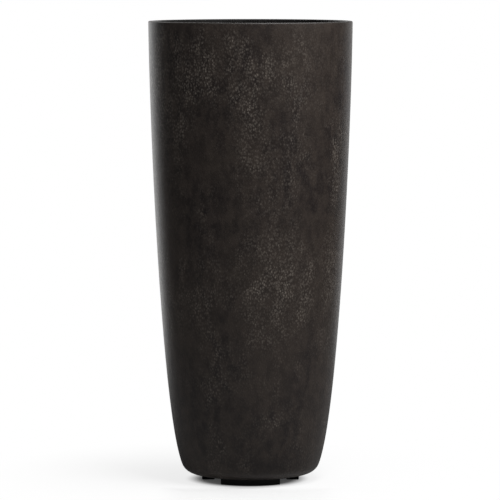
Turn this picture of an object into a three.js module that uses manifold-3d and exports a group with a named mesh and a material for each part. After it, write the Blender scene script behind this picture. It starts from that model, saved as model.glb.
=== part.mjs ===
// A tall round planter moulded in glass fibre, with a returned rim, a drain that a rubber stopper closes,
// and three arc feet screwed up into a panel in its floor.
// Millimetres, +Z up. The origin is on the ground under the middle of the planter, and -Y is its front.

import * as THREE from 'three';
import { mergeVertices } from 'three/addons/utils/BufferGeometryUtils.js';
import Module from 'manifold-3d';

const wasm = await Module();
wasm.setup();

const { degToRad } = THREE.MathUtils;

// ------------------------------------------------------------------ sizes

// Pieces that touch keep this much between them.
const seatGap = 0.3;

// The moulded shell: one laminate makes its wall, floor and rim.
const overallHeight = 915;
const rimOuterRadius = 202.5;
const floorFlatRadius = 111.3;
const heelRadius = 27.4;
const laminate = 5;

// The wall is one curve. It leaves the rounded heel at heelRise and reaches the rim almost upright, at
// rimDraft from plumb. The two reaches say how far up and down the curve holds these directions.
const heelRise = degToRad(68.35);
const heelReach = 100.3;
const rimDraft = degToRad(0.73);
const rimReach = 263;

// The rim turns in as a flat lip and down again, and leaves an open groove behind the return.
const rimEdgeRadius = 2.5;
const rimGrooveWidth = 6;
const rimReturnDepth = 25;
const rimGrooveFillet = 2.5;

// The stiffening panel bonded inside the floor.
const panelThickness = 12;
const panelMargin = 4;
const panelChamfer = 3;

// The drain: a liner through the floor, with a bore that narrows downwards. Its flange is let into the
// panel, so that the last of the water runs off.
const drainBoreRadius = 15;
const drainTaper = degToRad(3);
const drainLeadIn = 0.8;
const linerWall = 3;
const linerFlangeWidth = 9;
const linerFlangeThickness = 3;
const linerFlangeEdge = 1;
const linerDrip = 3;

// The stopper: a tapered stem, a flange that seats on the liner, and a knob to pull.
const stopperStemLength = 18;
const stopperFlangeWidth = 6;
const stopperFlangeThickness = 3.5;
const stopperFlangeEdge = 1.2;
const stopperNeckRadius = 5;
const stopperNeckHeight = 7;
const stopperKnobRadius = 10;
const stopperKnobHeight = 10;

// The feet: three equal arcs, cored out underneath.
const footHeight = 14.2;
const footOuterRadius = 97;
const footInnerRadius = 72;
const footHalfAngle = degToRad(38);
const footCornerRadius = 2.5;
const footEdge = 1;
const footWall = 3.5;
const footRib = 3;
const footPocketDepth = 8.5;
const footPocketCorner = 2;

// The foot screws: pan heads, two in each foot, each in a counterbore.
const screwAngle = degToRad(22);
const screwShankRadius = 2.4;
const screwHeadRadius = 4.75;
const screwHeadHeight = 3.2;
const screwHeadEdge = 1.4;
const screwPointLength = 4;
const screwPanelCover = 2;
const screwHoleClearance = 0.3;
const counterboreClearance = 0.75;
const counterboreDepth = 6;
const driveSlotWidth = 1.3;
const driveSlotLength = 5.2;
const driveSlotDepth = 1.8;

// How finely the round forms are drawn.
const shellSides = 64;
const panelSides = 48;
const smallSides = 32;
const holeSides = 16;
const wallSteps = 12;
const heelSteps = 7;
const edgeSteps = 3;
const footArcSteps = 14;
const footPocketSteps = 5;

// ------------------------------------------------------------------ places that follow from the sizes

const floorUnderside = footHeight + seatGap;
const floorTop = floorUnderside + laminate;
const panelUnderside = floorTop + seatGap;
const panelTop = panelUnderside + panelThickness;
const linerTop = panelTop;
const linerFlangeUnderside = linerTop - linerFlangeThickness;
const linerBottom = floorUnderside - linerDrip;
const linerTubeRadius = drainBoreRadius + linerWall;
const linerFlangeRadius = linerTubeRadius + linerFlangeWidth;
const drainHoleRadius = linerTubeRadius + seatGap;
const rimInnerRadius = rimOuterRadius - 2 * laminate - rimGrooveWidth;
const screwCircleRadius = (footOuterRadius + footInnerRadius) / 2;
const screwHoleRadius = screwShankRadius + screwHoleClearance;
const screwSeat = counterboreDepth - seatGap;
const screwTip = panelTop - screwPanelCover;

const feet = [
  { place: 'front', turn: 0 },
  { place: 'rear_right', turn: degToRad(120) },
  { place: 'rear_left', turn: degToRad(240) },
];

// ------------------------------------------------------------------ helpers

/* A copy of a geometry that keeps only its positions, with shared corners and no collapsed triangles. */
function weld(geometry) {
  const bare = geometry.clone();
  bare.deleteAttribute('normal');
  bare.deleteAttribute('uv');
  const welded = mergeVertices(bare, 1e-4);
  const corners = welded.index.array;
  const kept = [];
  for (let i = 0; i < corners.length; i += 3) {
    const [a, b, c] = corners.slice(i, i + 3);
    if (a !== b && b !== c && c !== a) {
      kept.push(a, b, c);
    }
  }
  welded.setIndex(kept);
  return welded;
}

function toSolid(geometry) {
  const welded = weld(geometry);
  const vertProperties = new Float32Array(welded.attributes.position.array);
  const triVerts = new Uint32Array(welded.index.array);
  return new wasm.Manifold(new wasm.Mesh({ numProp: 3, vertProperties, triVerts }));
}

function toGeometry(solid) {
  const mesh = solid.getMesh();
  const geometry = new THREE.BufferGeometry();
  geometry.setAttribute('position', new THREE.BufferAttribute(mesh.vertProperties, 3));
  geometry.setIndex(new THREE.BufferAttribute(mesh.triVerts, 1));
  return geometry;
}

/* What is left of a geometry when the tools are cut out of it. */
function cut(geometry, tools) {
  const solid = tools.reduce((rest, tool) => rest.subtract(toSolid(tool)), toSolid(geometry));
  return toGeometry(solid);
}

function point(radius, height) {
  return new THREE.Vector2(radius, height);
}

/* Points along an arc, from one angle to another, both counted from the +X direction. */
function arc(centre, radius, from, to, steps) {
  const clockwise = to < from;
  return new THREE.EllipseCurve(centre.x, centre.y, radius, radius, from, to, clockwise).getPoints(steps);
}

/* The solid that a profile of (radius, height) points sweeps round the Z axis. The profile runs
   outwards at its foot and inwards at its head. */
function revolve(profile, sides) {
  return new THREE.LatheGeometry(profile, sides).rotateX(Math.PI / 2);
}

/* The same for a ring, whose profile closes on itself clear of the axis. */
function revolveRing(profile, sides) {
  return revolve([...profile, profile[0].clone()], sides);
}

/* An upright round rod, the tool for a hole. */
function rod(radius, bottom, top, centre = point(0, 0)) {
  const geometry = new THREE.CylinderGeometry(radius, radius, top - bottom, holeSides);
  geometry.rotateX(Math.PI / 2);
  return geometry.translate(centre.x, centre.y, (bottom + top) / 2);
}

function polar(radius, angle) {
  return point(radius * Math.cos(angle), radius * Math.sin(angle));
}

/* Where a foot's screw stands, for a foot turned by so much from the front. */
function screwPlace(turn, side) {
  return polar(screwCircleRadius, turn - Math.PI / 2 + side * screwAngle);
}

function allScrewPlaces() {
  return feet.flatMap(({ turn }) => [screwPlace(turn, -1), screwPlace(turn, 1)]);
}

function named(name, geometry, material) {
  const mesh = new THREE.Mesh(geometry, material);
  mesh.name = name;
  return mesh;
}

// ------------------------------------------------------------------ materials

const bronzeSkin = new THREE.MeshStandardMaterial({ color: 0x3d3733, roughness: 0.45, metalness: 0.1 });
const coatedPly = new THREE.MeshStandardMaterial({ color: 0x4a4036, roughness: 0.6, metalness: 0 });
const greyPlastic = new THREE.MeshStandardMaterial({ color: 0x3a3b3d, roughness: 0.5, metalness: 0 });
const blackRubber = new THREE.MeshStandardMaterial({ color: 0x161516, roughness: 0.75, metalness: 0 });
const brightSteel = new THREE.MeshStandardMaterial({ color: 0xb9b9b6, roughness: 0.3, metalness: 1 });

// ------------------------------------------------------------------ the moulded shell

/* The outside of the wall, from the end of the heel's arc up to the start of the rim's edge. */
function wallCurve() {
  const heelCentre = point(floorFlatRadius, floorUnderside + heelRadius);
  const foot = heelCentre.clone().add(polar(heelRadius, heelRise - Math.PI / 2));
  const edgeCentre = point(rimOuterRadius - rimEdgeRadius, overallHeight - rimEdgeRadius);
  const head = edgeCentre.clone().add(polar(rimEdgeRadius, -rimDraft));
  const footHandle = foot.clone().add(polar(heelReach, heelRise));
  const headHandle = head.clone().sub(polar(rimReach, Math.PI / 2 - rimDraft));
  return new THREE.CubicBezierCurve(foot, footHandle, headHandle, head);
}

/* The wall's points, set in from its outside by a depth. */
function wallPoints(depth) {
  const curve = wallCurve();
  const points = [];
  for (let i = 0; i <= wallSteps; i += 1) {
    const along = curve.getTangent(i / wallSteps);
    const outward = point(along.y, -along.x);
    points.push(curve.getPoint(i / wallSteps).addScaledVector(outward, -depth));
  }
  return points;
}

/* The heel's arc, from the flat floor up to the wall, set in by a depth. */
function heelPoints(depth) {
  const centre = point(floorFlatRadius, floorUnderside + heelRadius);
  return arc(centre, heelRadius - depth, -Math.PI / 2, heelRise - Math.PI / 2, heelSteps);
}

/* The part of a rising profile that lies below a height, ended at that height. */
function below(points, height) {
  const kept = points.filter((each) => each.y < height);
  const last = kept[kept.length - 1];
  const next = points[kept.length];
  return [...kept, last.clone().lerp(next, (height - last.y) / (next.y - last.y))];
}

/* The lip and its return, from the rim's outer edge over the top and down into the groove. */
function rimPoints(grooveOuterRadius, fillet) {
  const edge = rimEdgeRadius;
  const edgeHeight = overallHeight - edge;
  const returnOuterRadius = rimInnerRadius + laminate;
  const returnBottom = overallHeight - rimReturnDepth;
  const filletHeight = overallHeight - laminate - fillet;
  return [
    ...arc(point(rimOuterRadius - edge, edgeHeight), edge, 0, Math.PI / 2, edgeSteps),
    ...arc(point(rimInnerRadius + edge, edgeHeight), edge, Math.PI / 2, Math.PI, edgeSteps),
    point(rimInnerRadius, returnBottom),
    point(returnOuterRadius, returnBottom),
    ...arc(point(returnOuterRadius + fillet, filletHeight), fillet, Math.PI, Math.PI / 2, edgeSteps),
    ...arc(point(grooveOuterRadius - fillet, filletHeight), fillet, Math.PI / 2, 0, edgeSteps),
  ];
}

function shellProfile() {
  const fillet = Math.min(rimGrooveFillet, rimGrooveWidth / 2 - seatGap);
  const innerWall = below(wallPoints(laminate), overallHeight - laminate - fillet);
  const grooveOuterRadius = innerWall[innerWall.length - 1].x;
  const inside = [...heelPoints(laminate), ...innerWall.slice(1, -1)];
  return [
    point(drainHoleRadius, floorUnderside),
    ...heelPoints(0),
    ...wallPoints(0).slice(1, -1),
    ...rimPoints(grooveOuterRadius, fillet),
    ...inside.reverse(),
    point(drainHoleRadius, floorTop),
  ];
}

function planterShell() {
  const blank = revolveRing(shellProfile(), shellSides);
  const holes = allScrewPlaces().map((place) => (
    rod(screwHoleRadius, floorUnderside - 1, floorTop + 1, place)
  ));
  return named('planter_shell', cut(blank, holes), bronzeSkin);
}

// ------------------------------------------------------------------ the floor's panel and the drain

function floorStiffener() {
  const radius = floorFlatRadius - panelMargin;
  const recessRadius = linerFlangeRadius + seatGap;
  const recessFloor = linerFlangeUnderside - seatGap;
  const blank = revolveRing([
    point(drainHoleRadius, panelUnderside),
    point(radius, panelUnderside),
    point(radius, panelTop - panelChamfer),
    point(radius - panelChamfer, panelTop),
    point(recessRadius, panelTop),
    point(recessRadius, recessFloor),
    point(drainHoleRadius, recessFloor),
  ], panelSides);
  const pilots = allScrewPlaces().map((place) => (
    rod(screwHoleRadius, panelUnderside - 1, screwTip + seatGap, place)
  ));
  return named('floor_stiffener', cut(blank, pilots), coatedPly);
}

/* The drain's bore is a slow taper, so its radius depends on the height. */
function boreRadiusAt(height) {
  return drainBoreRadius - (linerTop - height) * Math.tan(drainTaper);
}

function drainBushing() {
  const edge = linerFlangeEdge;
  const profile = [
    point(boreRadiusAt(linerBottom), linerBottom),
    point(linerTubeRadius, linerBottom),
    point(linerTubeRadius, linerFlangeUnderside),
    point(linerFlangeRadius, linerFlangeUnderside),
    ...arc(point(linerFlangeRadius - edge, linerTop - edge), edge, 0, Math.PI / 2, 2),
    point(drainBoreRadius + drainLeadIn, linerTop),
    point(boreRadiusAt(linerTop - drainLeadIn), linerTop - drainLeadIn),
  ];
  return named('drain_bushing', revolveRing(profile, smallSides), greyPlastic);
}

function drainStopper() {
  const flangeUnderside = linerTop + seatGap;
  const flangeTop = flangeUnderside + stopperFlangeThickness;
  const flangeRadius = drainBoreRadius + stopperFlangeWidth;
  const stemBottom = flangeUnderside - stopperStemLength;
  const knobMiddle = flangeTop + stopperNeckHeight + stopperKnobHeight / 2;
  const roundness = stopperKnobHeight / 2;
  const edge = stopperFlangeEdge;
  const profile = [
    point(0, stemBottom),
    point(boreRadiusAt(stemBottom) - seatGap - 1, stemBottom),
    point(boreRadiusAt(stemBottom + 1) - seatGap, stemBottom + 1),
    point(boreRadiusAt(flangeUnderside) - seatGap, flangeUnderside),
    ...arc(point(flangeRadius - edge, flangeUnderside + edge), edge, -Math.PI / 2, 0, 2),
    ...arc(point(flangeRadius - edge, flangeTop - edge), edge, 0, Math.PI / 2, 2),
    point(stopperNeckRadius + edge, flangeTop),
    point(stopperNeckRadius, flangeTop + edge),
    point(stopperNeckRadius, flangeTop + stopperNeckHeight),
    ...arc(point(stopperKnobRadius - roundness, knobMiddle), roundness, -Math.PI / 2, Math.PI / 2, 6),
    point(0, knobMiddle + roundness),
  ];
  return named('drain_stopper', revolve(profile, smallSides), blackRubber);
}

// ------------------------------------------------------------------ the feet and their screws

/* The outline of an arc with rounded corners, drawn round the front of the planter. The arc reaches
   from one angle to another, both counted from the front. */
function arcOutline(innerRadius, outerRadius, from, to, corner, steps) {
  const start = from - Math.PI / 2;
  const end = to - Math.PI / 2;
  const outerCentres = outerRadius - corner;
  const innerCentres = innerRadius + corner;
  const outerTuck = Math.asin(corner / outerCentres);
  const innerTuck = Math.asin(corner / innerCentres);
  const [outerStart, outerEnd] = [start + outerTuck, end - outerTuck];
  const [innerStart, innerEnd] = [start + innerTuck, end - innerTuck];
  const quarter = Math.PI / 2;
  const axis = point(0, 0);
  const round = (centre, first, last) => arc(centre, corner, first, last, edgeSteps);
  return new THREE.Shape([
    ...arc(axis, outerRadius, outerStart, outerEnd, steps),
    ...round(polar(outerCentres, outerEnd), outerEnd, end + quarter).slice(1),
    ...round(polar(innerCentres, innerEnd), end + quarter, innerEnd + 2 * quarter),
    ...arc(axis, innerRadius, innerEnd, innerStart, steps).slice(1),
    ...round(polar(innerCentres, innerStart), innerStart + 2 * quarter, start + 3 * quarter).slice(1),
    ...round(polar(outerCentres, outerStart), start - quarter, outerStart).slice(0, -1),
  ]);
}

/* The block of a foot before it is cored, with its edges eased top and bottom. */
function footBlock() {
  const [from, to] = [-footHalfAngle, footHalfAngle];
  const outline = arcOutline(footInnerRadius, footOuterRadius, from, to, footCornerRadius, footArcSteps);
  const geometry = new THREE.ExtrudeGeometry(outline, {
    depth: footHeight - 2 * footEdge,
    bevelThickness: footEdge,
    bevelSize: footEdge,
    bevelOffset: -footEdge,
    bevelSegments: 2,
  });
  return geometry.translate(0, 0, footEdge);
}

/* One pocket under a foot, between two angles counted from the foot's middle. */
function footPocket(from, to) {
  const innerRadius = footInnerRadius + footWall;
  const outerRadius = footOuterRadius - footWall;
  const outline = arcOutline(innerRadius, outerRadius, from, to, footPocketCorner, footPocketSteps);
  const geometry = new THREE.ExtrudeGeometry(outline, { depth: footPocketDepth + 1, bevelEnabled: false });
  return geometry.translate(0, 0, -1);
}

/* The pockets leave a rib at the foot's middle, a solid block round each screw and a wall at each end. */
function footPockets() {
  const halfRib = footRib / 2 / screwCircleRadius;
  const halfBlock = (screwHeadRadius + counterboreClearance + footWall) / screwCircleRadius;
  const endWall = footWall / screwCircleRadius;
  const spans = [
    [halfRib, screwAngle - halfBlock],
    [screwAngle + halfBlock, footHalfAngle - endWall],
  ];
  return spans.flatMap(([from, to]) => [footPocket(from, to), footPocket(-to, -from)]);
}

function footHoles() {
  return [-1, 1].flatMap((side) => {
    const place = screwPlace(0, side);
    return [
      rod(screwHeadRadius + counterboreClearance, -1, counterboreDepth, place),
      rod(screwHoleRadius, counterboreDepth - 1, footHeight + 1, place),
    ];
  });
}

/* The cross in a screw's head, cut up from below. */
function driveSlots(headBottom) {
  const depth = driveSlotDepth + 1;
  const middle = headBottom - 1 + depth / 2;
  return [0, Math.PI / 2].map((turn) => (
    new THREE.BoxGeometry(driveSlotLength, driveSlotWidth, depth).rotateZ(turn).translate(0, 0, middle)
  ));
}

function screwGeometry() {
  const headBottom = screwSeat - screwHeadHeight;
  const edgeCentre = point(screwHeadRadius - screwHeadEdge, headBottom + screwHeadEdge);
  const blank = revolve([
    point(0, headBottom),
    ...arc(edgeCentre, screwHeadEdge, -Math.PI / 2, 0, 2),
    point(screwHeadRadius, screwSeat),
    point(screwShankRadius, screwSeat),
    point(screwShankRadius, screwTip - screwPointLength),
    point(0, screwTip),
  ], holeSides);
  return cut(blank, driveSlots(headBottom));
}

/* A foot and its two screws, made at the front and turned to their place. */
function footAssembly({ place, turn }, footGeometry, screw) {
  const assembly = new THREE.Group();
  assembly.add(named(`foot_${place}`, footGeometry, blackRubber));
  [-1, 1].forEach((side, i) => {
    const fastener = named(`foot_screw_${place}_${i + 1}`, screw, brightSteel);
    const where = screwPlace(0, side);
    fastener.position.set(where.x, where.y, 0);
    assembly.add(fastener);
  });
  assembly.rotation.z = turn;
  return assembly;
}

// ------------------------------------------------------------------ the planter

const planter = new THREE.Group();
planter.add(planterShell(), floorStiffener(), drainBushing(), drainStopper());

const footGeometry = cut(footBlock(), [...footPockets(), ...footHoles()]);
const screw = screwGeometry();
feet.forEach((foot) => planter.add(footAssembly(foot, footGeometry, screw)));

export default planter;
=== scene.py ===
import math

import bmesh
import bpy
from mathutils import Matrix, Vector


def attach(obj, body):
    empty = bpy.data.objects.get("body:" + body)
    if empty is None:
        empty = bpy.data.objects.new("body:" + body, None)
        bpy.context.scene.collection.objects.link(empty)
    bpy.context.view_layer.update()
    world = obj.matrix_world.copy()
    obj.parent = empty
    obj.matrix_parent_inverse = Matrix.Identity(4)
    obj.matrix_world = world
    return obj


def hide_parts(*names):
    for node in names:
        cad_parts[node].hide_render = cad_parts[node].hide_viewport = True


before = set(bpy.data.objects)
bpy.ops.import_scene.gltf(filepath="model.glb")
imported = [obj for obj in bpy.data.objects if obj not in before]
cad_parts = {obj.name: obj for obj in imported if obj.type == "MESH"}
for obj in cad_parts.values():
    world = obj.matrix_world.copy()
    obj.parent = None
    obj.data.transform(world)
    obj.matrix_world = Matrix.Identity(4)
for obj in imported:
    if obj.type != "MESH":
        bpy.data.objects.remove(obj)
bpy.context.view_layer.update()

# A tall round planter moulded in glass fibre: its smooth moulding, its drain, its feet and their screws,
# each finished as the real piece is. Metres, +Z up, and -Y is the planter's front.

MM = 0.001

# ------------------------------------------------------------------ sizes, in millimetres

SEAT_GAP = 0.3

RIM_HEIGHT = 915.0
RIM_RADIUS = 202.5
FLOOR_RADIUS = 111.3
HEEL_RADIUS = 27.4
LAMINATE = 5.0
HEEL_RISE = math.radians(68.35)
HEEL_REACH = 100.3
RIM_DRAFT = math.radians(0.73)
RIM_REACH = 263.0
RIM_EDGE = 2.5
GROOVE_WIDTH = 6.0
GROOVE_FILLET = 2.5
RETURN_DEPTH = 25.0
RETURN_EDGE = 1.2
LIP_INNER_RADIUS = RIM_RADIUS - 2 * LAMINATE - GROOVE_WIDTH
# Where the flat floor, the lip and its return have one more ring of corners.
FLOOR_RING = 60.0
LIP_RING = RIM_RADIUS - 8.0
RETURN_RING = RIM_HEIGHT - 12.0

FOOT_HEIGHT = 14.2
FOOT_OUTER_RADIUS = 97.0
FOOT_INNER_RADIUS = 72.0
FOOT_HALF_ANGLE = math.radians(38)
FOOT_CORNER = 2.5
FOOT_EDGE = 1.0
FOOT_WALL = 3.5
FOOT_RIB = 3.0
POCKET_DEPTH = 8.5
POCKET_CORNER = 2.0
POCKET_EDGE = 0.4

SCREW_ANGLE = math.radians(22)
SCREW_CIRCLE = (FOOT_OUTER_RADIUS + FOOT_INNER_RADIUS) / 2
SHANK_RADIUS = 2.4
ROOT_RADIUS = 1.75
THREAD_PITCH = 1.8
THREAD_TURNS = 3
THREAD_START = 0.9
THREAD_HALF_FOOT = 0.42
THREAD_HALF_CREST = 0.05
THREAD_SINK = 0.15
THREAD_CREST_GAP = 0.02
PLAIN_SHANK = 9.0
SHANK_STEP = 0.6
HEAD_RADIUS = 4.75
HEAD_HEIGHT = 3.2
HEAD_EDGE = 1.4
HEAD_FLAT_MARGIN = 0.6
HEAD_CROWN = 0.05
HEAD_SEAT_EDGE = 0.2
POINT_LENGTH = 4.0
POINT_RADIUS = 0.25
POINT_TIP = 0.2
SCREW_COVER = 2.0
HOLE_CLEARANCE = 0.3
COUNTERBORE_CLEARANCE = 0.75
COUNTERBORE_DEPTH = 6.0
DRIVE_WIDTH = 1.3
DRIVE_LENGTH = 5.2
DRIVE_DEPTH = 1.8
DRIVE_TAPER = 0.7

FLOOR_UNDERSIDE = FOOT_HEIGHT + SEAT_GAP
FLOOR_TOP = FLOOR_UNDERSIDE + LAMINATE

PANEL_MARGIN = 4.0
PANEL_THICKNESS = 12.0
PANEL_CHAMFER = 3.0
PANEL_EASE = 0.5
RECESS_EASE = 0.4
PANEL_UNDERSIDE = FLOOR_TOP + SEAT_GAP
PANEL_TOP = PANEL_UNDERSIDE + PANEL_THICKNESS

BORE_RADIUS = 15.0
BORE_TAPER = math.radians(3)
BORE_LEAD_IN = 0.8
LINER_WALL = 3.0
LINER_TUBE = BORE_RADIUS + LINER_WALL
LINER_FLANGE_WIDTH = 9.0
LINER_FLANGE = LINER_TUBE + LINER_FLANGE_WIDTH
LINER_FLANGE_HEIGHT = 3.0
LINER_DROP = 3.0
LINER_TOP = PANEL_TOP
LINER_SEAT = LINER_TOP - LINER_FLANGE_HEIGHT
LINER_BOTTOM = FLOOR_UNDERSIDE - LINER_DROP
LINER_BOTTOM_EDGE = 0.5
LINER_SEAT_EDGE = 0.3
LINER_TOP_EDGE = 1.0
LINER_LAND = 2.0
DRAIN_HOLE = LINER_TUBE + SEAT_GAP

STEM_LENGTH = 18.0
STEM_EDGE = 1.0
DISH_DEPTH = 1.5
DISH_RIM = 3.0
DISH_SLOPE = 1.0
STOPPER_FLANGE = BORE_RADIUS + 6.0
STOPPER_FLANGE_HEIGHT = 3.5
STOPPER_EDGE = 1.2
NECK_RADIUS = 5.0
NECK_HEIGHT = 7.0
NECK_FILLET = 1.5
NECK_LAND = 6.0
NECK_FLARE = 0.6
KNOB_RADIUS = 10.0
KNOB_HEIGHT = 10.0
DIMPLE_RADIUS = 2.0
DIMPLE_DEPTH = 0.4

SCREW_SEAT = COUNTERBORE_DEPTH - SEAT_GAP
SCREW_TIP = PANEL_TOP - SCREW_COVER

FEET = {"front": 0.0, "rear_right": math.radians(120), "rear_left": math.radians(240)}

# How finely the round forms are drawn: steps in a turn, or along an arc or a curve.
SHELL_STEPS = 160
PANEL_STEPS = 96
SMALL_STEPS = 64
SCREW_STEPS = 32
THREAD_STEPS = 24
HOLE_STEPS = 32
FOOT_STEPS = 30
CORNER_STEPS = 5
WALL_STEPS = 44
HEEL_STEPS = 14

# In metres: corners nearer than this are one, and corners this near to a height lie at it.
MERGE = 1e-6
SCREW_MERGE = 5e-6
LEVEL = 1e-5
# In radians: the least turn between two faces that makes a sharp edge.
SHARP = 1
# In millimetres: how far a tool reaches past what it cuts.
CUT_MARGIN = 1


# ------------------------------------------------------------------ drawing a section

def arc(centre, radius, start, end, steps):
    """Points along an arc, in degrees from the outward direction."""
    points = []
    for i in range(steps + 1):
        angle = math.radians(start + (end - start) * i / steps)
        points.append((centre[0] + radius * math.cos(angle), centre[1] + radius * math.sin(angle)))
    return points


def wall_curve():
    """The four points that rule the wall's one long curve, from the heel up to the rim's edge."""
    heel = (
        FLOOR_RADIUS + HEEL_RADIUS * math.sin(HEEL_RISE),
        FLOOR_UNDERSIDE + HEEL_RADIUS * (1 - math.cos(HEEL_RISE)),
    )
    head = (
        RIM_RADIUS - RIM_EDGE + RIM_EDGE * math.cos(RIM_DRAFT),
        RIM_HEIGHT - RIM_EDGE - RIM_EDGE * math.sin(RIM_DRAFT),
    )
    low = (heel[0] + HEEL_REACH * math.cos(HEEL_RISE), heel[1] + HEEL_REACH * math.sin(HEEL_RISE))
    high = (head[0] - RIM_REACH * math.sin(RIM_DRAFT), head[1] - RIM_REACH * math.cos(RIM_DRAFT))
    return heel, low, high, head


def wall_points(depth):
    """The wall's section, set in from its outside by a depth."""
    heel, low, high, head = (Vector(p) for p in wall_curve())
    points = []
    for i in range(WALL_STEPS + 1):
        t = i / WALL_STEPS
        s = 1 - t
        place = s ** 3 * heel + 3 * s * s * t * low + 3 * s * t * t * high + t ** 3 * head
        along = (s * s * (low - heel) + 2 * s * t * (high - low) + t * t * (head - high)).normalized()
        points.append((place.x - along.y * depth, place.y + along.x * depth))
    return points


def heel_points(depth):
    centre = (FLOOR_RADIUS, FLOOR_UNDERSIDE + HEEL_RADIUS)
    return arc(centre, HEEL_RADIUS - depth, -90, math.degrees(HEEL_RISE) - 90, HEEL_STEPS)


def below(points, height):
    """The part of a rising section that lies under a height, ended at that height."""
    kept = [p for p in points if p[1] < height]
    last, nxt = kept[-1], points[len(kept)]
    share = (height - last[1]) / (nxt[1] - last[1])
    return kept + [(last[0] + (nxt[0] - last[0]) * share, height)]


def shell_section():
    """One line round the laminate: floor, heel, wall, lip, return, groove and back down inside."""
    edge_height = RIM_HEIGHT - RIM_EDGE
    fillet_height = RIM_HEIGHT - LAMINATE - GROOVE_FILLET
    return_bottom = RIM_HEIGHT - RETURN_DEPTH
    return_outer = LIP_INNER_RADIUS + LAMINATE
    edge = RETURN_EDGE
    inner_wall = below(wall_points(LAMINATE), fillet_height)
    groove_outer = inner_wall[-1][0]
    inside = heel_points(LAMINATE) + inner_wall[1:-1]
    return [
        (DRAIN_HOLE, FLOOR_UNDERSIDE),
        (FLOOR_RING, FLOOR_UNDERSIDE),
        *heel_points(0),
        *wall_points(0)[1:-1],
        *arc((RIM_RADIUS - RIM_EDGE, edge_height), RIM_EDGE, 0, 90, 6),
        (LIP_RING, RIM_HEIGHT),
        *arc((LIP_INNER_RADIUS + RIM_EDGE, edge_height), RIM_EDGE, 90, 180, 6),
        (LIP_INNER_RADIUS, RETURN_RING),
        *arc((LIP_INNER_RADIUS + edge, return_bottom + edge), edge, 180, 270, 3),
        *arc((return_outer - edge, return_bottom + edge), edge, 270, 360, 3),
        *arc((return_outer + GROOVE_FILLET, fillet_height), GROOVE_FILLET, 180, 90, 4),
        *arc((groove_outer - GROOVE_FILLET, fillet_height), GROOVE_FILLET, 90, 0, 4),
        *inside[::-1],
        (FLOOR_RING, FLOOR_TOP),
        (DRAIN_HOLE, FLOOR_TOP),
    ]


def bore_radius(height):
    """The drain's bore narrows slowly downwards."""
    return BORE_RADIUS - (LINER_TOP - height) * math.tan(BORE_TAPER)


def panel_section():
    radius = FLOOR_RADIUS - PANEL_MARGIN
    recess = LINER_FLANGE + SEAT_GAP
    return [
        (DRAIN_HOLE, PANEL_UNDERSIDE),
        (radius - PANEL_EASE, PANEL_UNDERSIDE),
        (radius, PANEL_UNDERSIDE + PANEL_EASE),
        (radius, PANEL_TOP - PANEL_CHAMFER),
        (radius - PANEL_CHAMFER, PANEL_TOP),
        (recess + RECESS_EASE, PANEL_TOP),
        (recess, PANEL_TOP - RECESS_EASE),
        (recess, LINER_SEAT - SEAT_GAP),
        (DRAIN_HOLE, LINER_SEAT - SEAT_GAP),
    ]


def liner_section():
    low, seat, top, lead = LINER_BOTTOM_EDGE, LINER_SEAT_EDGE, LINER_TOP_EDGE, BORE_LEAD_IN
    return [
        (bore_radius(LINER_BOTTOM) + low, LINER_BOTTOM),
        *arc((LINER_TUBE - low, LINER_BOTTOM + low), low, -90, 0, 3),
        (LINER_TUBE, LINER_SEAT),
        *arc((LINER_FLANGE - seat, LINER_SEAT + seat), seat, -90, 0, 2),
        *arc((LINER_FLANGE - top, LINER_TOP - top), top, 0, 90, 5),
        (BORE_RADIUS + lead + LINER_LAND, LINER_TOP),
        *arc((BORE_RADIUS + lead, LINER_TOP - lead), lead, 90, 180, 4),
        (bore_radius(LINER_BOTTOM + low), LINER_BOTTOM + low),
    ]


def stopper_section():
    seat = LINER_TOP + SEAT_GAP
    top = seat + STOPPER_FLANGE_HEIGHT
    bottom = seat - STEM_LENGTH
    edge = STOPPER_EDGE
    roundness = KNOB_HEIGHT / 2
    knob = top + NECK_HEIGHT + roundness
    stem = bore_radius(bottom) - SEAT_GAP
    return [
        (0.0, bottom + DISH_DEPTH),
        (stem - DISH_RIM - DISH_SLOPE, bottom + DISH_DEPTH),
        (stem - DISH_RIM, bottom),
        *arc((stem - STEM_EDGE, bottom + STEM_EDGE), STEM_EDGE, -90, 0, 4),
        (bore_radius(seat) - SEAT_GAP, seat),
        *arc((STOPPER_FLANGE - edge, seat + edge), edge, -90, 0, 5),
        *arc((STOPPER_FLANGE - edge, top - edge), edge, 0, 90, 5),
        (NECK_RADIUS + NECK_LAND, top),
        *arc((NECK_RADIUS + NECK_FILLET, top + NECK_FILLET), NECK_FILLET, 270, 180, 5),
        (NECK_RADIUS, top + NECK_HEIGHT - NECK_FLARE),
        (KNOB_RADIUS - roundness, top + NECK_HEIGHT),
        *arc((KNOB_RADIUS - roundness, knob), roundness, -75, 90, 16),
        (DIMPLE_RADIUS, knob + roundness),
        (0.0, knob + roundness - DIMPLE_DEPTH),
    ]


def screw_section():
    head = SCREW_SEAT - HEAD_HEIGHT
    return [
        (0.0, head),
        (HEAD_RADIUS - HEAD_EDGE - HEAD_FLAT_MARGIN, head + HEAD_CROWN),
        *arc((HEAD_RADIUS - HEAD_EDGE, head + HEAD_EDGE), HEAD_EDGE, -80, 0, 6),
        (HEAD_RADIUS, SCREW_SEAT - HEAD_SEAT_EDGE),
        (HEAD_RADIUS - HEAD_SEAT_EDGE, SCREW_SEAT),
        (SHANK_RADIUS, SCREW_SEAT),
        (SHANK_RADIUS, SCREW_SEAT + PLAIN_SHANK),
        (ROOT_RADIUS, SCREW_SEAT + PLAIN_SHANK + SHANK_STEP),
        (ROOT_RADIUS, SCREW_TIP - POINT_LENGTH),
        (POINT_RADIUS, SCREW_TIP - POINT_TIP),
        (0.0, SCREW_TIP),
    ]


# ------------------------------------------------------------------ shaping by operators

def leave_all():
    bpy.ops.object.select_all(action="DESELECT")


def edit():
    bpy.ops.object.mode_set(mode="EDIT")


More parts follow.
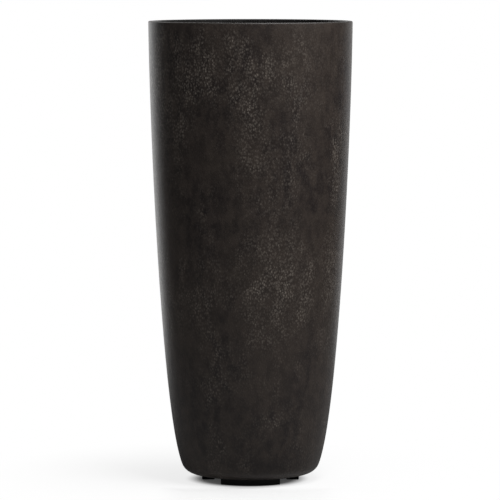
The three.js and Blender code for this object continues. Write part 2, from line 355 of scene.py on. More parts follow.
def leave_edit():
    bpy.ops.object.mode_set(mode="OBJECT")


def call(piece, name):
    piece.name = name
    piece.data.name = name
    return piece


def merge_all(threshold=MERGE):
    """In edit mode, selects all of a piece and makes one of the corners that lie together."""
    bpy.ops.mesh.select_all(action="SELECT")
    bpy.ops.mesh.remove_doubles(threshold=threshold)


def draw_section(name, section):
    """Draws a section in the XZ plane: one corner is extruded from point to point. Stays in edit mode."""
    leave_all()
    bpy.ops.mesh.primitive_plane_add(size=0.001)
    piece = call(bpy.context.object, name)
    edit()
    bpy.ops.mesh.select_mode(type="VERT")
    bpy.ops.mesh.select_all(action="SELECT")
    bpy.ops.mesh.merge(type="CENTER")
    bpy.ops.transform.translate(value=(section[0][0] * MM, 0, section[0][1] * MM))
    for here, there in zip(section, section[1:]):
        step = ((there[0] - here[0]) * MM, 0, (there[1] - here[1]) * MM)
        bpy.ops.mesh.extrude_region_move(TRANSFORM_OT_translate={"value": step})
    return piece


def turned(name, section, steps, ring=True):
    """A piece turned from a section, as on a lathe. A ring's section is closed first."""
    piece = draw_section(name, section + section[:1] if ring else section)
    merge_all()
    bpy.ops.mesh.spin(steps=steps, angle=math.tau, center=(0, 0, 0), axis=(0, 0, 1))
    settle_normals()
    leave_edit()
    return piece


def settle_normals():
    merge_all()
    bpy.ops.mesh.normals_make_consistent(inside=False)


def choose(wanted, kind="faces"):
    """In edit mode, selects only the faces or edges that a test picks."""
    bpy.ops.mesh.select_mode(type="FACE" if kind == "faces" else "EDGE")
    bpy.ops.mesh.select_all(action="DESELECT")
    mesh = bmesh.from_edit_mesh(bpy.context.object.data)
    for each in getattr(mesh, kind):
        each.select_set(bool(wanted(each)))
    mesh.select_flush_mode()
    bmesh.update_edit_mesh(bpy.context.object.data)


def activate(piece):
    leave_all()
    piece.select_set(True)
    bpy.context.view_layer.objects.active = piece


def finish_with(piece, kind, **settings):
    """Adds a modifier, sets it and applies it."""
    activate(piece)
    modifier = piece.modifiers.new(kind.title(), kind)
    for key, value in settings.items():
        setattr(modifier, key, value)
    bpy.ops.object.modifier_apply(modifier=modifier.name)


def cut_out(piece, tools):
    """Cuts each tool out of a piece, and puts the tool away."""
    for tool in tools:
        finish_with(piece, "BOOLEAN", operation="DIFFERENCE", solver="EXACT", object=tool)
        bpy.data.objects.remove(tool)


def rod(radius, bottom, top, place):
    """An upright round rod, the tool for a hole."""
    leave_all()
    bpy.ops.mesh.primitive_cylinder_add(
        vertices=HOLE_STEPS,
        radius=radius * MM,
        depth=(top - bottom) * MM,
        location=(place[0] * MM, place[1] * MM, (top + bottom) / 2 * MM),
    )
    return bpy.context.object


def ease_edges(width, segments, wanted):
    """In edit mode, rounds the edges that a test picks."""
    choose(wanted, "edges")
    bpy.ops.mesh.bevel(offset=width * MM, segments=segments, profile=0.5, affect="EDGES")


def smooth(piece, angle=32):
    activate(piece)
    bpy.ops.object.shade_smooth_by_angle(angle=math.radians(angle))


def set_place(piece):
    """Puts a piece's place, turn and scale into its mesh."""
    activate(piece)
    bpy.ops.object.transform_apply(location=True, rotation=True, scale=True)


def copy_turned(piece, name, angle, shift=(0.0, 0.0)):
    """A copy with its own mesh, shifted and then turned round the planter's axis."""
    copy = piece.copy()
    copy.data = piece.data.copy()
    bpy.context.scene.collection.objects.link(copy)
    place = Matrix.Rotation(angle, 4, "Z") @ Matrix.Translation((shift[0] * MM, shift[1] * MM, 0))
    copy.data.transform(place)
    return call(copy, name)


def screw_place(turn, side):
    angle = turn - math.pi / 2 + side * SCREW_ANGLE
    return SCREW_CIRCLE * math.cos(angle), SCREW_CIRCLE * math.sin(angle)


def drill_screw_holes(piece, bottom, top):
    """Cuts the holes of all six screws between two heights."""
    radius = SHANK_RADIUS + HOLE_CLEARANCE
    places = [screw_place(turn, side) for turn in FEET.values() for side in (-1, 1)]
    cut_out(piece, [rod(radius, bottom, top, place) for place in places])


# ------------------------------------------------------------------ the pieces

def is_skin(face):
    """True for the grained outside of the shell, out to the inner edge of its lip."""
    middle = face.calc_center_median() / MM
    radius = math.hypot(middle.x, middle.y)
    outward = (face.normal.x * middle.x + face.normal.y * middle.y) / radius
    if middle.z < RIM_HEIGHT - RETURN_DEPTH - 1:
        return outward > 0.05 or face.normal.z < -0.5
    if middle.z > RIM_HEIGHT - RIM_EDGE:
        return radius > LIP_INNER_RADIUS + RIM_EDGE
    return radius > RIM_RADIUS - RIM_EDGE


def make_shell():
    shell = turned("shell_moulding", shell_section(), SHELL_STEPS)
    drill_screw_holes(shell, FLOOR_UNDERSIDE - CUT_MARGIN, FLOOR_TOP + CUT_MARGIN)
    return shell


def make_panel():
    panel = turned("floor_panel", panel_section(), PANEL_STEPS)
    drill_screw_holes(panel, PANEL_UNDERSIDE - CUT_MARGIN, SCREW_TIP + SEAT_GAP)
    return panel


def arc_block(name, inner, outer, start, end, bottom, top, corner, steps):
    """A block that follows an arc round the planter's front, its upright corners rounded."""
    outline = [(inner, bottom), (outer, bottom), (outer, top), (inner, top), (inner, bottom)]
    block = draw_section(name, outline)
    merge_all()
    bpy.ops.mesh.edge_face_add()
    bpy.ops.mesh.select_all(action="SELECT")
    bpy.ops.transform.rotate(value=math.pi / 2 - end, orient_axis="Z", center_override=(0, 0, 0))
    bpy.ops.mesh.spin(steps=steps, angle=end - start, center=(0, 0, 0), axis=(0, 0, 1))
    settle_normals()

    def upright_corner(edge):
        low, high = (v.co for v in edge.verts)
        return (low.xy - high.xy).length < MERGE and edge.calc_face_angle(0) > SHARP

    ease_edges(corner, CORNER_STEPS, upright_corner)
    leave_edit()
    return block


def is_mouth(height):
    """Picks the sharp edges that lie at a height, such as the mouths of holes."""
    def wanted(edge):
        level = all(abs(v.co.z - height * MM) < LEVEL for v in edge.verts)
        return level and edge.calc_face_angle(0) > SHARP
    return wanted


def foot_pockets():
    """The pockets leave a rib at the foot's middle, a block round each screw and a wall at each end."""
    rib = FOOT_RIB / 2 / SCREW_CIRCLE
    block = (HEAD_RADIUS + COUNTERBORE_CLEARANCE + FOOT_WALL) / SCREW_CIRCLE
    end_wall = FOOT_WALL / SCREW_CIRCLE
    inner = FOOT_INNER_RADIUS + FOOT_WALL
    outer = FOOT_OUTER_RADIUS - FOOT_WALL
    spans = [(rib, SCREW_ANGLE - block), (SCREW_ANGLE + block, FOOT_HALF_ANGLE - end_wall)]
    spans += [(-end, -start) for start, end in spans]
    return [
        arc_block("pocket", inner, outer, start, end, -CUT_MARGIN, POCKET_DEPTH, POCKET_CORNER, steps)
        for (start, end), steps in zip(spans, (7, 3, 7, 3))
    ]


def make_foot():
    foot = arc_block(
        "foot_pad", FOOT_INNER_RADIUS, FOOT_OUTER_RADIUS, -FOOT_HALF_ANGLE, FOOT_HALF_ANGLE,
        0, FOOT_HEIGHT, FOOT_CORNER, FOOT_STEPS,
    )
    activate(foot)
    edit()
    for height in (0, FOOT_HEIGHT):
        ease_edges(FOOT_EDGE, 4, is_mouth(height))
    leave_edit()
    tools = foot_pockets()
    head = HEAD_RADIUS + COUNTERBORE_CLEARANCE
    shank = SHANK_RADIUS + HOLE_CLEARANCE
    for side in (-1, 1):
        place = screw_place(0, side)
        tools.append(rod(head, -CUT_MARGIN, COUNTERBORE_DEPTH, place))
        tools.append(rod(shank, COUNTERBORE_DEPTH - CUT_MARGIN, FOOT_HEIGHT + CUT_MARGIN, place))
    cut_out(foot, tools)
    activate(foot)
    edit()
    ease_edges(POCKET_EDGE, 2, is_mouth(0))
    settle_normals()
    leave_edit()
    return foot


def drive_slot(turn):
    """One arm of the cross in a screw's head, narrower towards its floor."""
    leave_all()
    bottom = SCREW_SEAT - HEAD_HEIGHT
    height = DRIVE_DEPTH + CUT_MARGIN
    bpy.ops.mesh.primitive_cube_add(
        size=1,
        location=(0, 0, (bottom - CUT_MARGIN + height / 2) * MM),
        rotation=(0, 0, turn),
        scale=(DRIVE_LENGTH * MM, DRIVE_WIDTH * MM, height * MM),
    )
    slot = bpy.context.object
    set_place(slot)
    edit()
    choose(lambda face: face.normal.z > 0.9)
    floor = (0, 0, (bottom + DRIVE_DEPTH) * MM)
    bpy.ops.transform.resize(value=(DRIVE_TAPER, DRIVE_TAPER, 1), center_override=floor)
    leave_edit()
    return slot


def screw_thread():
    """A ridge wound round the shank, with both its ends closed."""
    start = PANEL_UNDERSIDE + THREAD_START
    foot = ROOT_RADIUS - THREAD_SINK
    crest = SHANK_RADIUS - THREAD_CREST_GAP
    section = [
        (foot, start - THREAD_HALF_FOOT),
        (crest, start - THREAD_HALF_CREST),
        (crest, start + THREAD_HALF_CREST),
        (foot, start + THREAD_HALF_FOOT),
    ]
    thread = draw_section("thread", section + section[:1])
    merge_all()
    leave_edit()
    finish_with(
        thread, "SCREW", screw_offset=THREAD_PITCH * MM, iterations=THREAD_TURNS,
        steps=THREAD_STEPS, render_steps=THREAD_STEPS, use_merge_vertices=True, merge_threshold=MERGE,
    )
    edit()
    bpy.ops.mesh.select_all(action="SELECT")
    bpy.ops.mesh.fill_holes(sides=4)
    settle_normals()
    leave_edit()
    return thread


def make_screw():
    screw = turned("foot_screw", screw_section(), SCREW_STEPS, ring=False)
    cut_out(screw, [drive_slot(0), drive_slot(math.pi / 2)])
    thread = screw_thread()
    finish_with(screw, "BOOLEAN", operation="UNION", solver="EXACT", object=thread)
    bpy.data.objects.remove(thread)
    edit()
    merge_all(SCREW_MERGE)
    bpy.ops.mesh.dissolve_degenerate(threshold=SCREW_MERGE)
    leave_edit()
    return screw


# ------------------------------------------------------------------ finishes

def paint(red, green, blue):
    """A colour as it is seen, 0 to 255, in the numbers that a shader takes."""
    def linear(value):
        value /= 255
        return value / 12.92 if value <= 0.04045 else ((value + 0.055) / 1.055) ** 2.4
    return (linear(red), linear(green), linear(blue), 1)


def new_finish(name, **settings):
    finish = bpy.data.materials.new(name)
    finish.use_nodes = True
    shader = finish.node_tree.nodes["Principled BSDF"]
    for socket, value in settings.items():
        shader.inputs[socket.replace("_", " ")].default_value = value
    return finish, finish.node_tree, shader


def feed(tree, socket, value):
    """Sets a socket to a value, or joins it to what makes its value."""
    if isinstance(value, bpy.types.NodeSocket):
        tree.links.new(value, socket)
    else:
        socket.default_value = value


def coat(tree, shader, colour, roughness=None):
    """Joins what makes a finish's colour, and its roughness where that varies, to its shader."""
    feed(tree, shader.inputs["Base Color"], colour)
    if roughness is not None:
        feed(tree, shader.inputs["Roughness"], roughness)


def coordinates(tree, stretch=(1, 1, 1), shift=(0, 0, 0), turn=(0, 0, 0)):
    """The planter's own coordinates, in metres, stretched where a pattern runs one way."""
    source = tree.nodes.new("ShaderNodeTexCoord")
    mapping = tree.nodes.new("ShaderNodeMapping")
    mapping.inputs["Scale"].default_value = stretch
    mapping.inputs["Location"].default_value = shift
    mapping.inputs["Rotation"].default_value = turn
    tree.links.new(source.outputs["Object"], mapping.inputs["Vector"])
    return mapping.outputs["Vector"]


def clouds(tree, where, size, detail=2.0, roughness=0.5, distortion=0.0):
    """Soft noise whose features are about so many millimetres across."""
    made = tree.nodes.new("ShaderNodeTexNoise")
    tree.links.new(where, made.inputs["Vector"])
    made.inputs["Scale"].default_value = 1 / (size * MM)
    made.inputs["Detail"].default_value = detail
    made.inputs["Roughness"].default_value = roughness
    made.inputs["Distortion"].default_value = distortion
    return made.outputs["Fac"]


def cells(tree, where, size):
    """Cells round points that lie about so many millimetres apart."""
    made = tree.nodes.new("ShaderNodeTexVoronoi")
    tree.links.new(where, made.inputs["Vector"])
    made.inputs["Scale"].default_value = 1 / (size * MM)
    return made


def dots(tree, where, size, dimmest):
    """Round specks about so many millimetres apart, from the dimmest share up to full brightness."""
    made = cells(tree, where, size)
    split = tree.nodes.new("ShaderNodeSeparateColor")
    tree.links.new(made.outputs["Color"], split.inputs["Color"])
    lit = spread(tree, split.outputs["Red"], 0.0, 1.0, dimmest, 1.0)
    body = spread(tree, made.outputs["Distance"], 0.10, 0.72, 1.0, 0.0)
    return reckon(tree, "MULTIPLY", body, lit)


def spread(tree, value, low, high, to_low=0.0, to_high=1.0):
    """Eases a value from one range into another, and holds it beyond the ends."""
    made = tree.nodes.new("ShaderNodeMapRange")
    made.interpolation_type = "SMOOTHSTEP"
    feed(tree, made.inputs["Value"], value)
    ends = {"From Min": low, "From Max": high, "To Min": to_low, "To Max": to_high}
    for socket, number in ends.items():
        made.inputs[socket].default_value = number
    return made.outputs["Result"]


def reckon(tree, operation, first, second=0.0):
    made = tree.nodes.new("ShaderNodeMath")
    made.operation = operation
    feed(tree, made.inputs[0], first)
    feed(tree, made.inputs[1], second)
    return made.outputs["Value"]


def blend(tree, share, first, second):
    """Mixes two colours by a share from 0 to 1."""
    made = tree.nodes.new("ShaderNodeMix")
    made.data_type = "RGBA"
    feed(tree, made.inputs["Factor"], share)
    feed(tree, made.inputs["A"], first)
    feed(tree, made.inputs["B"], second)
    return made.outputs["Result"]


def emboss(tree, shader, height, depth):
    """Raises the surface by a height from 0 to 1, times so many millimetres."""
    made = tree.nodes.new("ShaderNodeBump")
    made.inputs["Strength"].default_value = 1.0
    made.inputs["Distance"].default_value = depth * MM
    tree.links.new(height, made.inputs["Height"])
    tree.links.new(made.outputs["Normal"], shader.inputs["Normal"])


def place_along(tree, axis):
    """How far along one of the planter's own axes a point lies."""
    source = tree.nodes.new("ShaderNodeTexCoord")
    split = tree.nodes.new("ShaderNodeSeparateXYZ")
    tree.links.new(source.outputs["Object"], split.inputs["Vector"])
    return split.outputs[axis]


def height_above_ground(tree):
    return place_along(tree, "Z")


def bands(tree, value, stops):
    """Reads a share off a soft curve, given as (place from 0 to 1, share) pairs."""
    made = tree.nodes.new("ShaderNodeValToRGB")
    made.color_ramp.interpolation = "EASE"
    elements = made.color_ramp.elements
    while len(elements) < len(stops):
        elements.new(0.5)
    for element, (place, share) in zip(elements, stops):
        element.position = place
        element.color = (share, share, share, 1)
    feed(tree, made.inputs["Fac"], value)
    return made.outputs["Color"]


# The gelcoat's pattern: how wide each form in it is, in millimetres, how its noise is stretched, and
# from which place of that noise it is taken, so that its patches fall as they should.
GRAIN_SIZE = 3.3
PEBBLE_SIZE = 4.3
GRAIN_DEPTH = 0.30
GRAIN_STRETCH = (1.25, 1.25, 0.85)
WIDE_DRIFT_SIZE, WIDE_DRIFT_PLACE = 72, (5.866, 5.175, 4.175)
NARROW_DRIFT_SIZE, NARROW_DRIFT_PLACE = 30, (3.105, 2.783, 2.798)
BROWN_SIZE, BROWN_PLACE = 150, (0.929, 0.932, 1.514)
PATCH_STRETCH = (1, 1, 0.6)
MOTTLE_SIZE, MOTTLE_PLACE = 18, (3.057, 1.956, 0.196)
MOTTLE_STRETCH = (1, 1, 0.65)

# How thickly the specks lie, by height in metres, and how much that weighs against the noise.
DRIFT_BANDS = [
    (0.0, 0.20), (0.20, 0.20), (0.31, 0.50), (0.37, 0.95), (0.43, 0.72), (0.48, 0.42),
    (0.58, 0.45), (0.66, 0.56), (0.72, 0.60), (0.78, 0.95), (0.83, 1.15), (0.875, 0.95), (0.915, 0.30),
]
BAND_WEIGHT = 0.24
# The share of its specks that the upper right keeps: fewer pale specks there is painted shade, which dims
# the side that the side lamp lights most.
PAINTED_SHADE_SPECK_SHARE = 0.15

# The specks' strength in a drift, and everywhere.
DRIFT_STRENGTH = 0.88
STRAY_STRENGTH = 0.05


def speck_drifts(tree):
    """Where the specks gather: drifts within drifts, thickest under the rim and at knee height, and
    thinned at the upper right as painted shade.
    """
    height = height_above_ground(tree)
    by_height = reckon(tree, "MULTIPLY", bands(tree, height, DRIFT_BANDS), BAND_WEIGHT)
    where = coordinates(tree, stretch=PATCH_STRETCH, shift=WIDE_DRIFT_PLACE)
    wide = clouds(tree, where, WIDE_DRIFT_SIZE, detail=3, roughness=0.6)
    where = coordinates(tree, stretch=PATCH_STRETCH, shift=NARROW_DRIFT_PLACE)
    narrow = clouds(tree, where, NARROW_DRIFT_SIZE, detail=2, roughness=0.5)
    wide = spread(tree, reckon(tree, "ADD", wide, by_height), 0.51, 0.84, 0.0, 0.72)
    drifts = reckon(tree, "MULTIPLY", wide, spread(tree, narrow, 0.34, 0.62, 0.20, 1.0))
    # The upper right keeps fewer pale specks: painted shade where the side lamp falls most strongly.
    upper = spread(tree, height, 0.66, 0.80)
    right = spread(tree, place_along(tree, "X"), 0.06, 0.14)
    kept = spread(tree, reckon(tree, "MULTIPLY", upper, right), 0.0, 1.0, 1.0, PAINTED_SHADE_SPECK_SHARE)
    return reckon(tree, "MULTIPLY", drifts, kept)


def gelcoat_ground(tree):
    """The colour under the specks: wide browner patches, and a finer mottle of a lighter brown."""
    where = coordinates(tree, stretch=PATCH_STRETCH, shift=BROWN_PLACE)
    brown = spread(tree, clouds(tree, where, BROWN_SIZE, detail=4, roughness=0.6), 0.36, 0.66)
    where = coordinates(tree, stretch=MOTTLE_STRETCH, shift=MOTTLE_PLACE)
    mottle = spread(tree, clouds(tree, where, MOTTLE_SIZE, detail=3, roughness=0.6), 0.34, 0.68)
    ground = blend(tree, brown, paint(33, 26, 25), paint(50, 42, 37))
    return blend(tree, reckon(tree, "MULTIPLY", mottle, 0.65), ground, paint(63, 54, 48))


def bronze_gelcoat():
    """The outside: dark bronze brown, satin, grained like leather, with paler specks in drifts."""
    finish, tree, shader = new_finish("bronze gelcoat", Roughness=0.42, IOR=1.5)
    where = coordinates(tree, stretch=GRAIN_STRETCH)
    grain = clouds(tree, where, GRAIN_SIZE, detail=1, roughness=0.5, distortion=0.2)
    pebbles = dots(tree, where, PEBBLE_SIZE, 0.45)
    specks = reckon(tree, "MULTIPLY", pebbles, spread(tree, grain, 0.36, 0.64, 0.45, 1.0))
    gathered = reckon(tree, "MULTIPLY", speck_drifts(tree), DRIFT_STRENGTH)
    share = reckon(tree, "MULTIPLY", specks, reckon(tree, "ADD", gathered, STRAY_STRENGTH))
    colour = blend(tree, share, gelcoat_ground(tree), paint(150, 141, 131))
    # The rim's top edge is painted darker, a painted shade that dims the light it catches; it is also
    # made a little rougher.
    lip = spread(tree, height_above_ground(tree), 0.9125, 0.9140)
    satin = spread(tree, grain, 0.35, 0.70, 0.46, 0.38)
    roughness = reckon(tree, "ADD", satin, reckon(tree, "MULTIPLY", lip, 0.08))
    coat(tree, shader, blend(tree, lip, colour, paint(36, 32, 29)), roughness)
    raised = [reckon(tree, "MULTIPLY", grain, 0.8), reckon(tree, "MULTIPLY", pebbles, 0.45)]
    emboss(tree, shader, reckon(tree, "ADD", *raised), GRAIN_DEPTH)
    return finish


def mat_fibres(tree, turn, size):
    """Short glass fibres that lie one way, as thin bright lines."""
    where = coordinates(tree, stretch=(1, 1, 0.12), turn=turn)
    return spread(tree, clouds(tree, where, size, detail=1, roughness=0.4, distortion=0.3), 0.56, 0.68)


def charcoal_flow_coat():
    """The inside: brushed dark flow coat, through which the glass mat's fibres show."""
    finish, tree, shader = new_finish("charcoal flow coat", Roughness=0.62, Specular_IOR_Level=0.2)
    fibres = mat_fibres(tree, (0.0, 0.5, 0.2), 2.2)
    for turn in ((0.9, 0.0, 1.1), (-0.8, 0.7, 0.0), (1.5, 0.2, -0.6)):
        fibres = reckon(tree, "MAXIMUM", fibres, mat_fibres(tree, turn, 2.2))
    pools = clouds(tree, coordinates(tree), 60, detail=3, roughness=0.55)
    ground = blend(tree, spread(tree, pools, 0.35, 0.65), paint(17, 16, 16), paint(24, 23, 23))
    colour = blend(tree, reckon(tree, "MULTIPLY", fibres, 0.35), ground, paint(44, 42, 41))
    coat(tree, shader, colour, spread(tree, pools, 0.35, 0.65, 0.52, 0.72))
    emboss(tree, shader, reckon(tree, "ADD", fibres, reckon(tree, "MULTIPLY", pools, 3.0)), 0.25)
    return finish


def panel_film():
    """The panel's faces: brown phenolic film with a fine wire-mesh print, scuffed here and there."""
    finish, tree, shader = new_finish("panel film", Roughness=0.5)
    mesh = None
    for turn in (0.0, math.pi / 2):
        wires = tree.nodes.new("ShaderNodeTexWave")
        wires.wave_profile = "SIN"
        tree.links.new(coordinates(tree, turn=(0, 0, turn)), wires.inputs["Vector"])
        wires.inputs["Scale"].default_value = 70
        line = spread(tree, wires.outputs["Fac"], 0.80, 0.98)
        mesh = line if mesh is None else reckon(tree, "MAXIMUM", mesh, line)
    scuffs = spread(tree, clouds(tree, coordinates(tree), 22, detail=4, roughness=0.7), 0.5, 0.75)
    ground = blend(tree, scuffs, paint(56, 45, 37), paint(84, 72, 62))
    colour = blend(tree, reckon(tree, "MULTIPLY", mesh, 0.4), ground, paint(40, 32, 27))
    coat(tree, shader, colour, spread(tree, scuffs, 0, 1, 0.45, 0.7))
    emboss(tree, shader, mesh, -0.12)
    return finish


def ply_edge():
    """The panel's edges: sealed plies, light and dark by turns, with the grain along them."""
    finish, tree, shader = new_finish("ply edge", Roughness=0.68)
    layers = tree.nodes.new("ShaderNodeTexWave")
    layers.bands_direction = "Z"
    layers.wave_profile = "TRI"
    layers.inputs["Scale"].default_value = 112
    layers.inputs["Distortion"].default_value = 0.6
    layers.inputs["Detail Scale"].default_value = 8
    tree.links.new(coordinates(tree), layers.inputs["Vector"])
    plies = spread(tree, layers.outputs["Fac"], 0.42, 0.58)
    fibre = clouds(tree, coordinates(tree, stretch=(1, 1, 6)), 3, detail=3, roughness=0.7)
    wood = blend(tree, plies, paint(92, 72, 52), paint(58, 45, 35))
    coat(tree, shader, blend(tree, spread(tree, fibre, 0.4, 0.8), wood, paint(45, 36, 29)))
    emboss(tree, shader, reckon(tree, "ADD", plies, fibre), 0.15)
    return finish


def grey_moulding():
    """The drain liner: dark grey plastic with a fine spark texture from its mould."""
    finish, tree, shader = new_finish("grey moulding", Roughness=0.48)
    where = coordinates(tree)
    spark = clouds(tree, where, 0.7, detail=2, roughness=0.6)
    flow = clouds(tree, where, 16, detail=2, roughness=0.5)
    colour = blend(tree, spread(tree, flow, 0.3, 0.7), paint(52, 53, 55), paint(62, 63, 65))
    coat(tree, shader, colour, spread(tree, spark, 0.3, 0.7, 0.42, 0.56))
    emboss(tree, shader, spark, 0.05)
    return finish


def black_rubber(name, bloom, size):
    """Moulded rubber: matt black, with a faint grey bloom and fine pores."""
    finish, tree, shader = new_finish(name, Roughness=0.72, IOR=1.5)
    where = coordinates(tree)
    pores = cells(tree, where, size).outputs["Distance"]
    dust = spread(tree, clouds(tree, where, 14, detail=5, roughness=0.65), 0.48, 0.78)
    colour = blend(tree, dust, paint(18, 18, 19), bloom)
    coat(tree, shader, colour, spread(tree, dust, 0, 1, 0.62, 0.82))
    emboss(tree, shader, spread(tree, pores, 0.1, 0.5), 0.06)
    return finish


def screw_steel():
    """Zinc-plated steel with the fine rings of its turning."""
    finish, tree, shader = new_finish("screw steel", Metallic=1.0, Roughness=0.3)
    rings = clouds(tree, coordinates(tree, stretch=(1, 1, 14)), 4, detail=2)
    stain = clouds(tree, coordinates(tree), 3, detail=3, roughness=0.6)
    colour = blend(tree, spread(tree, stain, 0.4, 0.7), paint(196, 196, 192), paint(158, 156, 148))
    coat(tree, shader, colour, spread(tree, rings, 0.3, 0.7, 0.24, 0.42))
    emboss(tree, shader, rings, 0.03)
    return finish


# ------------------------------------------------------------------ putting it together

def give(piece, body, slot, finish, *nodes):
    """Says what a piece rides on, what finish it has and which nodes it stands for."""
    piece.data.materials.clear()
    piece.data.materials.append(finish)
    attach(piece, body)
    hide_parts(*nodes)


def give_faces(piece, finish, wanted):
    """Gives the faces that a test picks a second finish."""
    activate(piece)
    piece.data.materials.append(finish)
    edit()
    choose(wanted)
    piece.active_material_index = len(piece.data.materials) - 1
    bpy.ops.object.material_slot_assign()
    leave_edit()


def build_planter():
    shell = make_shell()
    give(shell, "planter", "bronze_skin", bronze_gelcoat(), "planter_shell")
    give_faces(shell, charcoal_flow_coat(), lambda face: not is_skin(face))
    smooth(shell)

    panel = make_panel()
    give(panel, "planter", "coated_ply", panel_film(), "floor_stiffener")
    give_faces(panel, ply_edge(), lambda face: abs(face.normal.z) < 0.9)
    smooth(panel)

    liner = turned("drain_liner", liner_section(), SMALL_STEPS)
    give(liner, "planter", "grey_plastic", grey_moulding(), "drain_bushing")
    smooth(liner)

    stopper = turned("stopper_plug", stopper_section(), SMALL_STEPS, ring=False)
    rubber = black_rubber("stopper rubber", paint(48, 47, 46), 1.1)
    give(stopper, "stopper", "stopper_rubber", rubber, "drain_stopper")
    smooth(stopper, angle=40)

    foot = make_foot()
    screw = make_screw()
    rubber = black_rubber("foot rubber", paint(34, 33, 33), 1.4)
    steel = screw_steel()
    for place, turn in FEET.items():
        pad = copy_turned(foot, f"foot_pad_{place}", turn)
        give(pad, "planter", "foot_rubber", rubber, f"foot_{place}")
        smooth(pad, angle=35)
        for i, side in enumerate((-1, 1), start=1):
            fixing = copy_turned(screw, f"screw_{place}_{i}", turn, screw_place(0, side))
            give(fixing, "planter", "screw_steel", steel, f"foot_screw_{place}_{i}")
            smooth(fixing, angle=35)
    bpy.data.objects.remove(foot)
    bpy.data.objects.remove(screw)


build_planter()

# ------------------------------------------------------------------ floor, light and camera

# In metres. The floor's shades lie round a point a little off the planter's axis.
STUDIO_RADIUS = 1.6
FLOOR_SHIFT = (0.006, -0.004, 0)

# The camera stands a little higher than the rim and looks slightly down.
CAMERA_PLACE = (-0.0009, -6.832, 1.0498)
CAMERA_PITCH = math.radians(90 - 4.936)
CAMERA_LENS = 247.92
CAMERA_SENSOR = 36


def pale_floor():
    """White underfoot. It keeps the planter's shadow, and is plain white further out.

    Round the feet it throws back more light than further out, which is what lights the heel.
    """
    finish, tree, shader = new_finish("pale floor", Roughness=1.0, Specular_IOR_Level=0)
    length = tree.nodes.new("ShaderNodeVectorMath")
    length.operation = "LENGTH"
    tree.links.new(coordinates(tree, shift=FLOOR_SHIFT), length.inputs[0])
    distance = length.outputs["Value"]
    seen = tree.nodes.new("ShaderNodeLightPath").outputs["Is Camera Ray"]
    further_out = spread(tree, distance, 0.10, 0.17)
    bounce = blend(tree, further_out, paint(225, 225, 225), paint(132, 132, 132))
    coat(tree, shader, blend(tree, seen, bounce, paint(243, 243, 243)))
    # Seen by the camera, the floor is mixed with a white glow by this share: painted light that lifts its
    # real shadow, least under the planter and in a strip straight ahead of it, and plain white further
    # out.
    near = spread(tree, distance, 0.088, 0.128, 0.05, 0.80)
    far = spread(tree, distance, 0.12, 0.60, 0.0, 0.20)
    beside = spread(tree, reckon(tree, "ABSOLUTE", place_along(tree, "X")), 0.11, 0.19)
    behind = spread(tree, place_along(tree, "Y"), -0.165, -0.105)
    ahead = spread(tree, place_along(tree, "Y"), -0.60, -0.30, 1.0, 0.0)
    around = reckon(tree, "MAXIMUM", reckon(tree, "MAXIMUM", beside, behind), ahead)
    share = reckon(tree, "MULTIPLY", reckon(tree, "ADD", near, far), around)
    white = tree.nodes.new("ShaderNodeEmission")
    mix = tree.nodes.new("ShaderNodeMixShader")
    tree.links.new(reckon(tree, "MULTIPLY", share, seen), mix.inputs["Fac"])
    tree.links.new(shader.outputs["BSDF"], mix.inputs[1])
    tree.links.new(white.outputs["Emission"], mix.inputs[2])
    tree.links.new(mix.outputs["Shader"], tree.nodes["Material Output"].inputs["Surface"])
    return finish


def make_floor():
    leave_all()
    bpy.ops.mesh.primitive_circle_add(vertices=96, radius=STUDIO_RADIUS, fill_type="NGON")
    floor = call(bpy.context.object, "studio_floor")
    edit()
    bpy.ops.mesh.select_all(action="SELECT")
    bpy.ops.mesh.inset(thickness=0.5)
    leave_edit()
    floor.data.materials.append(pale_floor())


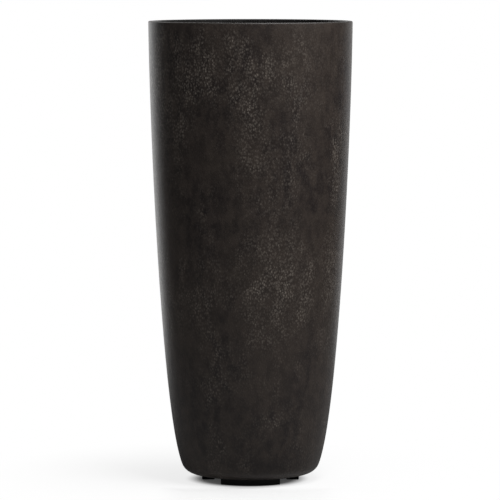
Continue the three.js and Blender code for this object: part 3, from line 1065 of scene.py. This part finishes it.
def studio_world():
    """White to the eye. A reflection sees a white backdrop behind the planter, and dark elsewhere."""
    world = bpy.data.worlds.new("studio")
    world.use_nodes = True
    bpy.context.scene.world = world
    tree = world.node_tree
    tree.nodes.clear()
    source = tree.nodes.new("ShaderNodeTexCoord")
    split = tree.nodes.new("ShaderNodeSeparateXYZ")
    tree.links.new(source.outputs["Generated"], split.inputs["Vector"])
    rays = tree.nodes.new("ShaderNodeLightPath")
    backdrop = spread(tree, split.outputs["Y"], 0.70, 0.90, 0.06, 0.95)
    level = reckon(tree, "MULTIPLY", rays.outputs["Is Glossy Ray"], backdrop)
    level = reckon(tree, "ADD", level, rays.outputs["Is Camera Ray"])
    fill = reckon(tree, "MULTIPLY", rays.outputs["Is Diffuse Ray"], 0.30)
    level = reckon(tree, "ADD", level, fill)
    background = tree.nodes.new("ShaderNodeBackground")
    background.inputs["Color"].default_value = (1, 1, 1, 1)
    tree.links.new(level, background.inputs["Strength"])
    output = tree.nodes.new("ShaderNodeOutputWorld")
    tree.links.new(background.outputs["Background"], output.inputs["Surface"])


def softbox(name, size, power, azimuth, elevation, distance, aim=(0, 0, 0.45)):
    """An area light. Its azimuth is counted from the planter's front towards its right."""
    a, e = math.radians(azimuth), math.radians(elevation)
    offset = Vector((math.sin(a) * math.cos(e), -math.cos(a) * math.cos(e), math.sin(e))) * distance
    lamp = bpy.data.lights.new(name, "AREA")
    lamp.shape = "RECTANGLE"
    lamp.size, lamp.size_y = size
    lamp.energy = power
    box = bpy.data.objects.new(name, lamp)
    box.location = Vector(aim) + offset
    box.rotation_euler = (-offset).to_track_quat("-Z", "Y").to_euler()
    bpy.context.scene.collection.objects.link(box)


def place_camera():
    lens = bpy.data.cameras.new("camera")
    lens.lens = CAMERA_LENS
    lens.sensor_width = CAMERA_SENSOR
    camera = bpy.data.objects.new("camera", lens)
    camera.location = CAMERA_PLACE
    camera.rotation_euler = (CAMERA_PITCH, 0, 0)
    bpy.context.scene.collection.objects.link(camera)
    bpy.context.scene.camera = camera


make_floor()
studio_world()
softbox("key", size=(0.8, 0.8), power=66, azimuth=30, elevation=66, distance=3.0)
softbox("side", size=(1.6, 1.2), power=34, azimuth=72, elevation=44, distance=3.0, aim=(0, 0, 0.35))
softbox("strip", size=(1.2, 2.4), power=10, azimuth=-150, elevation=14, distance=2.6)
place_camera()
bpy.context.scene.view_settings.view_transform = "Standard"
